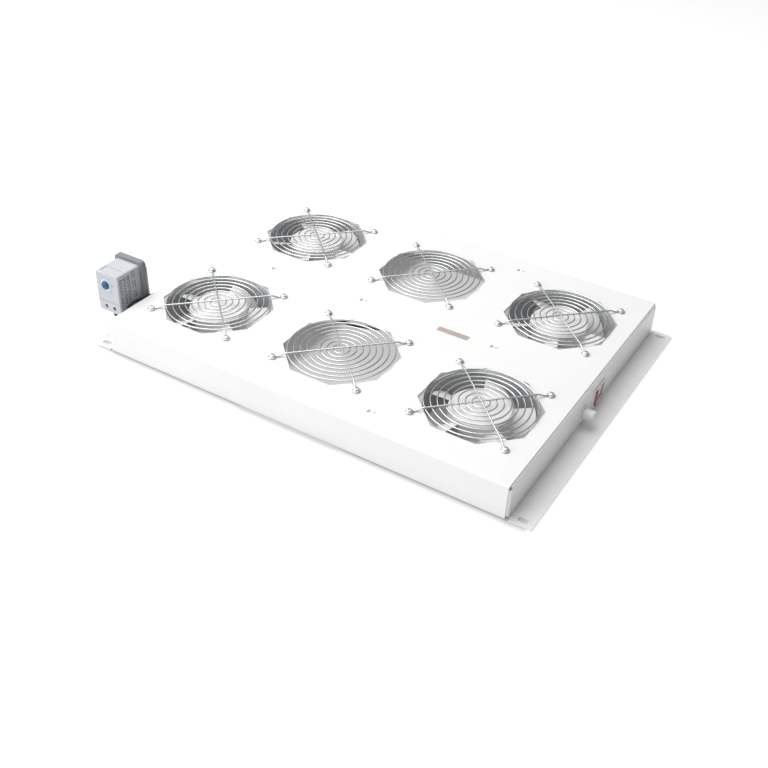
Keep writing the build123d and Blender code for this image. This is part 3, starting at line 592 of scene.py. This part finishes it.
# %% Give each piece its finish
finish_of = {
    "top_panel": PAINT, "front_wall": PAINT, "back_wall": PAINT, "left_end_wall": PAINT,
    "right_end_wall": PAINT, "thermostat_bracket": PAINT, "fan_frame": CASTING, "fan_impeller": BLADE,
    "fan_stator": MOTOR, "fan_bearings": STEEL, "fan_shaft": STEEL, "finger_guard": WIRE,
    "guard_screws": ZINC, "guard_nuts": ZINC, "bracket_screws": ZINC, "block_studs": ZINC,
    "earth_stud": ZINC, "switch_body": WHITE, "switch_rocker": RED, "switch_terminals": BRASS,
    "switch_plug": NYLON, "fuse_holder": HOLDER, "fuse_cap": HOLDER, "fuse_link": GLASS,
    "thermostat_case": CASE, "thermostat_back": CASE, "thermostat_base": BASE,
    "thermostat_switch": BASE, "thermostat_knob": BLUE, "thermostat_spindle": WHITE,
    "thermostat_bimetal": BRASS, "thermostat_terminals": ZINC, "thermostat_lead": BLACK,
    "lead_grommet": BLACK, "mains_grommet": BLACK, "wiring_leads": BLACK, "terminal_block": NYLON,
    "cable_ties": NYLON, "label_strip": LABEL,
}
for name, piece in nodes.items():
    start = next(key for key in finish_of if name.startswith(key))
    piece.data.materials.clear()
    piece.data.materials.append(finish_of[start])
print("finishes given to", len(nodes), "pieces")

# %% [markdown]
# ## Round wire guards
# The model's guards are straight-sided, which is enough for collision. Real ones are round wire: eight
# rings, and two spokes that lie over them, bend down outside the last ring and curl into an eye round each
# screw. Rings could be torus primitives, but the cranked spokes couldn't, so each wire is a line of points
# with a round section. The six guards share one mesh.

# %% Sizes of the guard
RINGS = 8
RING_POINTS = 84
RING_WIRE = 1.6 * MM
SPOKE_WIRE = 1.84 * MM
EYE_WIRE = 1.8 * MM
EYE_CENTRE = 2.7 * MM + EYE_WIRE / 2
EYE_TURN, EYE_STEP = 320, 20
FIRST_RING = 9.0 * MM
LAST_RING = 58.0 * MM
SCREW_SQUARE = 105.0 * MM
RING_HEIGHT = 2.2 * MM
SPOKE_HEIGHT = 3.7 * MM
FOOT_OUT, FOOT_BEND = 3.4 * MM, 2.2 * MM
KNEE_OUT, KNEE_BEND = 2.4 * MM, 2.6 * MM
CORNER_POINTS = 5
print(RINGS, "rings,", round((LAST_RING - FIRST_RING) / (RINGS - 1) / MM, 1), "mm apart")

# %% Lines along the wires


def circle(radius, height):
    angles = [2 * pi * k / RING_POINTS for k in range(RING_POINTS)]
    return [(radius * cos(angle), radius * sin(angle), height) for angle in angles]


def soft_corner(before, corner, after, reach):
    """Points of a rounded corner that starts and ends at reach from the corner."""
    start = corner + (before - corner).normalized() * reach
    end = corner + (after - corner).normalized() * reach
    shares = [k / (CORNER_POINTS - 1) for k in range(CORNER_POINTS)]
    return [start.lerp(corner, share).lerp(corner.lerp(end, share), share) for share in shares]


def spoke_line():
    """One spoke in the XZ plane: an eye, a foot on the plate, a knee, and the same again mirrored."""
    half = SCREW_SQUARE / sqrt(2)
    low = EYE_WIRE / 2
    turns = [radians(angle) for angle in range(EYE_TURN, -1, -EYE_STEP)]
    eye = [Vector((half - EYE_CENTRE * cos(turn), EYE_CENTRE * sin(turn), low)) for turn in turns]
    foot = Vector((half - EYE_CENTRE - FOOT_OUT, 0, low))
    knee = Vector((LAST_RING + KNEE_OUT, 0, SPOKE_HEIGHT))
    middle = Vector((0, 0, SPOKE_HEIGHT))
    end = eye + soft_corner(eye[-1], foot, knee, FOOT_BEND) + soft_corner(foot, knee, middle, KNEE_BEND)
    other = [Vector((-p.x, -p.y, p.z)) for p in reversed(end)]
    return [tuple(p) for p in end + other]


def turned(points, angle):
    return [(x * cos(angle) - y * sin(angle), x * sin(angle) + y * cos(angle), z) for x, y, z in points]


print("a spoke has", len(spoke_line()), "points")

# %% The wire guards


def guard_mesh():
    step = (LAST_RING - FIRST_RING) / (RINGS - 1)
    runs = [(circle(FIRST_RING + k * step, RING_HEIGHT), RING_WIRE / 2, True) for k in range(RINGS)]
    runs += [(turned(spoke_line(), radians(side)), SPOKE_WIRE / 2, False) for side in (45, -45)]
    return smooth(wire_mesh("guard_wire", runs))


guard_shape = guard_mesh()
for name in guards:
    x, y, _ = middle_of(name)
    piece = place(name.replace("finger_guard", "wire_guard"), guard_shape, "tray", WIRE)
    piece.location = (x, y, tray_top)
    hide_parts(name)
print("each guard has", len(guard_shape.polygons), "faces")

# %% [markdown]
# ## Screws with their cross recess
# The guards are held by pan-head screws, one in each eye. The model's screws are plain cylinders; here the
# head is domed, with a cross recess cut into it, and the shank carries thread ridges as far as its end. The
# ridges could climb as a true helix, but at this size nobody sees it, so they are plain rings.

# %% One pan-head screw
HEAD, HEAD_HEIGHT = 6.6 * MM, 2.2 * MM
SHANK, SHANK_LENGTH = 3.8 * MM, 14 * MM
PITCH, RIDGE, FIRST_CREST = 0.7 * MM, 0.28 * MM, 0.3 * MM
TIP_LENGTH, TIP_EDGE, TIP_FACE = 0.4 * MM, 0.2 * MM, 0.6 * MM
CROWN = [(0, 1), (0.45, 0.97), (0.78, 0.84), (0.95, 0.58), (1, 0.25), (1, 0)]
RECESS_SPAN, RECESS_WIDTH, RECESS_DEPTH = 0.52 * HEAD, 0.9 * MM, 1.3 * MM


def pan_profile():
    """From the crown of the head down to the tip of the shank."""
    radius = SHANK / 2
    profile = [(HEAD / 2 * out, HEAD_HEIGHT * up) for out, up in CROWN] + [(radius, 0)]
    for k in range(int((SHANK_LENGTH - PITCH) / PITCH)):
        crest = -FIRST_CREST - k * PITCH
        profile += [(radius, crest), (radius - RIDGE, crest - PITCH / 2)]
    profile.append((radius - TIP_EDGE, TIP_LENGTH - SHANK_LENGTH))
    return profile + [(radius - TIP_FACE, -SHANK_LENGTH), (0, -SHANK_LENGTH)]


def pan_screw():
    """The turned screw, less the two bars of its recess."""
    screw = lathe("pan_screw", pan_profile(), sides=24)
    for x, y in ((RECESS_SPAN, RECESS_WIDTH), (RECESS_WIDTH, RECESS_SPAN)):
        screw = carved(screw, box_mesh("bar", (x, y, 2 * RECESS_DEPTH), (0, 0, HEAD_HEIGHT)))
    return screw


one_screw = pan_screw()
print("one screw has", len(one_screw.polygons), "faces")

# %% Screws where the model has them
SCREW_SPAN = SCREW_SQUARE / 2
HEAD_TURN = 37


def guard_screw_places():
    """A matrix for each screw. Each head is turned a little further than the last, as by hand."""
    places = []
    for name in guards:
        x, y, _ = middle_of(name)
        for right in (-SCREW_SPAN, SCREW_SPAN):
            for back in (-SCREW_SPAN, SCREW_SPAN):
                spot = Vector((x, y, tray_top + EYE_WIRE)) + Vector((right, back, 0))
                turn = Matrix.Rotation(radians(len(places) * HEAD_TURN % 90), 4, "Z")
                places.append(Matrix.Translation(spot) @ turn)
    return places


screw_set = crisp(joined("guard_pan_screws", [(one_screw, spot) for spot in guard_screw_places()]))
screws = place("guard_pan_screws", screw_set, "tray", ZINC)
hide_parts("guard_screws")
print("screws:", len(guard_screw_places()), "with", len(screw_set.polygons), "faces")

# %% [markdown]
# ## The thermostat's knob
# The knob is a small turned disc with a rounded rim and a screwdriver slot. A cylinder with a bevel would
# come close, but a lathed profile also gives the slight dome of its face. It rides on its own body, because
# it turns over the scale.

# %% The knob
knob_low, knob_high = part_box("thermostat_knob")
dial_x, _, dial_z = middle_of("thermostat_knob")
KNOB_GAP = 0.7 * MM
KNOB_RIM = 0.7 * MM
KNOB_SET = 24
SLOT_WIDTH, SLOT_DEPTH = 1.2 * MM, 1.1 * MM
case_front = knob_high[1] + KNOB_GAP
FACING = Matrix.Rotation(radians(90), 4, "X")


def on_front(turn=0.0):
    """A matrix that turns a shape's Z towards the front and sets it on the face of the case."""
    spot = Matrix.Translation(Vector((dial_x, case_front, dial_z)))
    return spot @ FACING @ Matrix.Rotation(radians(turn), 4, "Z")


def knob_shape():
    radius = (knob_high[0] - knob_low[0]) / 2
    front = case_front - knob_low[1]
    side = front - 2 * KNOB_RIM
    profile = [(0, KNOB_GAP), (radius * 0.96, KNOB_GAP), (radius, KNOB_GAP + 0.3 * MM), (radius, side)]
    for turn in (0.5, 1.0, 1.5):
        profile.append((radius - KNOB_RIM * (1 - cos(turn)), side + 1.6 * KNOB_RIM * sin(turn)))
    profile += [(radius * 0.5, front - 0.1 * MM), (0, front)]
    slot = box_mesh("slot", (2.4 * radius, SLOT_WIDTH, 2 * SLOT_DEPTH), (0, 0, front))
    return carved(lathe("dial_knob", profile, sides=48), slot)


knob_mesh = knob_shape()
knob_mesh.transform(on_front(KNOB_SET))
knob = place("dial_knob", crisp(knob_mesh), "knob", BLUE)
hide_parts("thermostat_knob")
print("the knob stands", round((case_front - knob_low[1]) / MM, 1), "mm out of the case")

# %% [markdown]
# ## The dial
# The knob sits in a pale ring, and round the ring stand eleven ticks and plain numbers for the temperature.
# A painted texture could carry them, but solid shapes a few hundredths of a millimetre high stay sharp at
# any distance and come out with the mesh.

# %% Ticks and numbers round the dial
DIAL_RADIUS = 7.5 * MM
TICKS = 11
SWEEP = 270.0
DEGREES_PER_TICK = 6
TICK = (1.0 * MM, 0.25 * MM, 0.06 * MM)
NUMBER_SIZE = 2.0 * MM
TICKS_OUT, NUMBERS_OUT = 0.7 * MM, 2.6 * MM


def tick_places(radius):
    """The angle of each tick and its place, from the low end of the scale to the high end."""
    for k in range(TICKS):
        angle = 90 + SWEEP / 2 - k * SWEEP / (TICKS - 1)
        yield angle, Vector((radius * cos(radians(angle)), radius * sin(radians(angle)), 0))


def number_mesh(text):
    curve = bpy.data.curves.new("number", "FONT")
    curve.body = text
    curve.size = NUMBER_SIZE
    curve.align_x = "CENTER"
    curve.align_y = "CENTER"
    curve.extrude = TICK[2] / 2
    return as_mesh(put("number", curve))


marks = []
for angle, spot in tick_places(DIAL_RADIUS + TICKS_OUT):
    turn = Matrix.Rotation(radians(angle), 4, "Z")
    marks.append((box_mesh("tick", TICK), on_front() @ Matrix.Translation(spot) @ turn))
for k, (_, spot) in enumerate(tick_places(DIAL_RADIUS + NUMBERS_OUT)):
    if k % 2 == 0:
        marks.append((number_mesh(str(k * DEGREES_PER_TICK)), on_front() @ Matrix.Translation(spot)))
scale = place("dial_scale", joined("dial_scale", marks), "tray", INK)
print("dial with", TICKS, "ticks and", len(marks) - TICKS, "numbers made")

# %% The ring round the knob
RING_BORE = 5.4 * MM
RING_FACE = 0.46 * MM
RING_EDGE = 0.40 * MM
RING_BEVEL = 0.3 * MM
RING_PROFILE = [
    (RING_BORE, 0), (DIAL_RADIUS, 0), (DIAL_RADIUS, RING_EDGE), (DIAL_RADIUS - RING_BEVEL, RING_FACE),
    (RING_BORE + RING_BEVEL, RING_FACE), (RING_BORE, RING_EDGE), (RING_BORE, 0),
]
ring_mesh = lathe("dial_ring", RING_PROFILE, sides=56)
ring_mesh.transform(on_front())
dial_ring = place("dial_ring", crisp(ring_mesh), "tray", DIAL)
print("the ring is", round((DIAL_RADIUS - RING_BORE) / MM, 1), "mm wide")

# %% [markdown]
# ## The floor
# The photograph is a product shot on white, where the ground can't be told from the paper. A floor that is
# only lit would show a grey edge, so this one also glows a little. Under the tray it glows less, so that
# the fans stand over a shadow, and under the empty bays in the middle it is an even light grey, as seen
# through their guards.

# %% Floor
FLOOR_SIZE = 14.0
FLOOR_DROP = 0.5 * MM
TRAY_REACH = (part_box("right_end_wall")[1][0] - 10 * MM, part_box("right_end_wall")[1][1] - 1 * MM)
OPEN_BAY = sorted(middle_of(name)[0] for name in guards)[len(guards) // 2]
OPEN_BAY_HALF = 56 * MM
SHADE_EDGE, BAY_EDGE = 8 * MM, 12 * MM
GLOW_SHADE, GLOW_BAY = 0.26, 0.62


def floor_finish():
    made = Finish("floor_white", Roughness=0.9, Emission_Strength=0.58)
    # Painted shadow: under the tray the floor glows only GLOW_SHADE, and the SHADE_EDGE ramp round it is a
    # painted contact shadow.
    past_tray = made.larger(made.off("X", 0.0) - TRAY_REACH[0], made.off("Y", 0.0) - TRAY_REACH[1])
    outside = (past_tray / SHADE_EDGE).clamped()
    past_bay = ((made.off("X", OPEN_BAY) - OPEN_BAY_HALF) / BAY_EDGE).clamped()
    open_bay = (1 - outside) * (1 - past_bay)
    glow = outside + (1 - outside) * (GLOW_SHADE + GLOW_BAY * open_bay)
    cloud = 0.05 * made.noise(0.4, 2.0)
    made.feed(
        # Painted shade and light: under the empty bays the colour is darkened, so the light falling through
        # them shows less, and the glow is raised to an even light grey.
        Base_Color=made.mix(open_bay + cloud, (0.46, 0.46, 0.46), (0.13, 0.13, 0.13)),
        Emission_Color=made.mix(glow, (0, 0, 0), (1, 1, 1)),
    )
    return made.material


def pale_floor():
    shape = bmesh.new()
    bmesh.ops.create_grid(shape, x_segments=1, y_segments=1, size=FLOOR_SIZE / 2)
    mesh = finished_mesh("floor", shape)
    mesh.materials.append(floor_finish())
    floor = put("floor", mesh)
    floor.location.z = -FLOOR_DROP


pale_floor()
print("floor laid,", FLOOR_SIZE, "m wide")

# %% [markdown]
# ## Light
# A large soft light above the thermostat's end leaves the top almost white, a weaker one lights the front
# wall from the left, and the end wall with the switch falls into light shade. An even white room would
# light the tray as well, but every wire would come out flat, so the sky is bright on the lamps' side only
# and the plated wire has a dark side.

# %% Lamps and sky
BRIGHT_SIDE = (-0.54, -0.5, 0.68)
DARKEST = (0.015, 0.015, 0.015)
SKY_STRENGTH = 0.9


def area_light(name, size, power, at, target=(0, 0, 0.02)):
    lamp = bpy.data.lights.new(name, "AREA")
    lamp.shape = "RECTANGLE"
    lamp.size, lamp.size_y = size
    lamp.energy = power
    holder = put(name, lamp)
    holder.location = at
    holder.rotation_euler = (Vector(target) - Vector(at)).to_track_quat("-Z", "Y").to_euler()


def studio_sky():
    """Bright towards the lamps, dark on the far side of the room."""
    world = bpy.data.worlds.new("studio")
    world.use_nodes = True
    sky = Network(world.node_tree)
    direction = sky.node("TexCoord", output="Generated")
    facing = sky.node("VectorMath", {"operation": "DOT_PRODUCT"}, [direction, BRIGHT_SIDE], output="Value")
    share = (0.5 + 0.5 * facing).clamped() ** 2.0
    background = world.node_tree.nodes["Background"]
    light = sky.mix(share, DARKEST, (1, 1, 1))
    world.node_tree.links.new(light.socket, background.inputs["Color"])
    background.inputs["Strength"].default_value = SKY_STRENGTH
    bpy.context.scene.world = world


area_light("top_light", (1.8, 1.8), 30, (-0.62, 0.15, 1.6))
area_light("front_light", (1.2, 1.0), 9, (-0.9, -1.5, 0.7))
studio_sky()
bpy.context.scene.view_settings.view_transform = "Standard"
print("two lamps and a sky set")

# %% [markdown]
# ## Camera
# The camera stands where the photograph was taken from. It could be moved by eye until the pictures agree,
# but the guards are flat, equal and evenly spaced, so their places in the picture give the camera's place,
# its lens and its slight roll by calculation.

# %% Camera
EYE = Vector((493.9, -857.5, 655.3)) * MM
AIM = Vector((53.2, -99.7, 20.0)) * MM
ROLL = radians(2.57)
LENS = 48.2
SENSOR_WIDTH = 36


def camera():
    made = bpy.data.cameras.new("camera")
    made.lens = LENS
    made.sensor_width = SENSOR_WIDTH
    holder = put("camera", made)
    holder.location = EYE
    look = (AIM - EYE).to_track_quat("-Z", "Y") @ Quaternion((0, 0, 1), ROLL)
    holder.rotation_euler = look.to_euler()
    bpy.context.scene.camera = holder


camera()
print("camera", round((AIM - EYE).length, 2), "m from what it looks at")
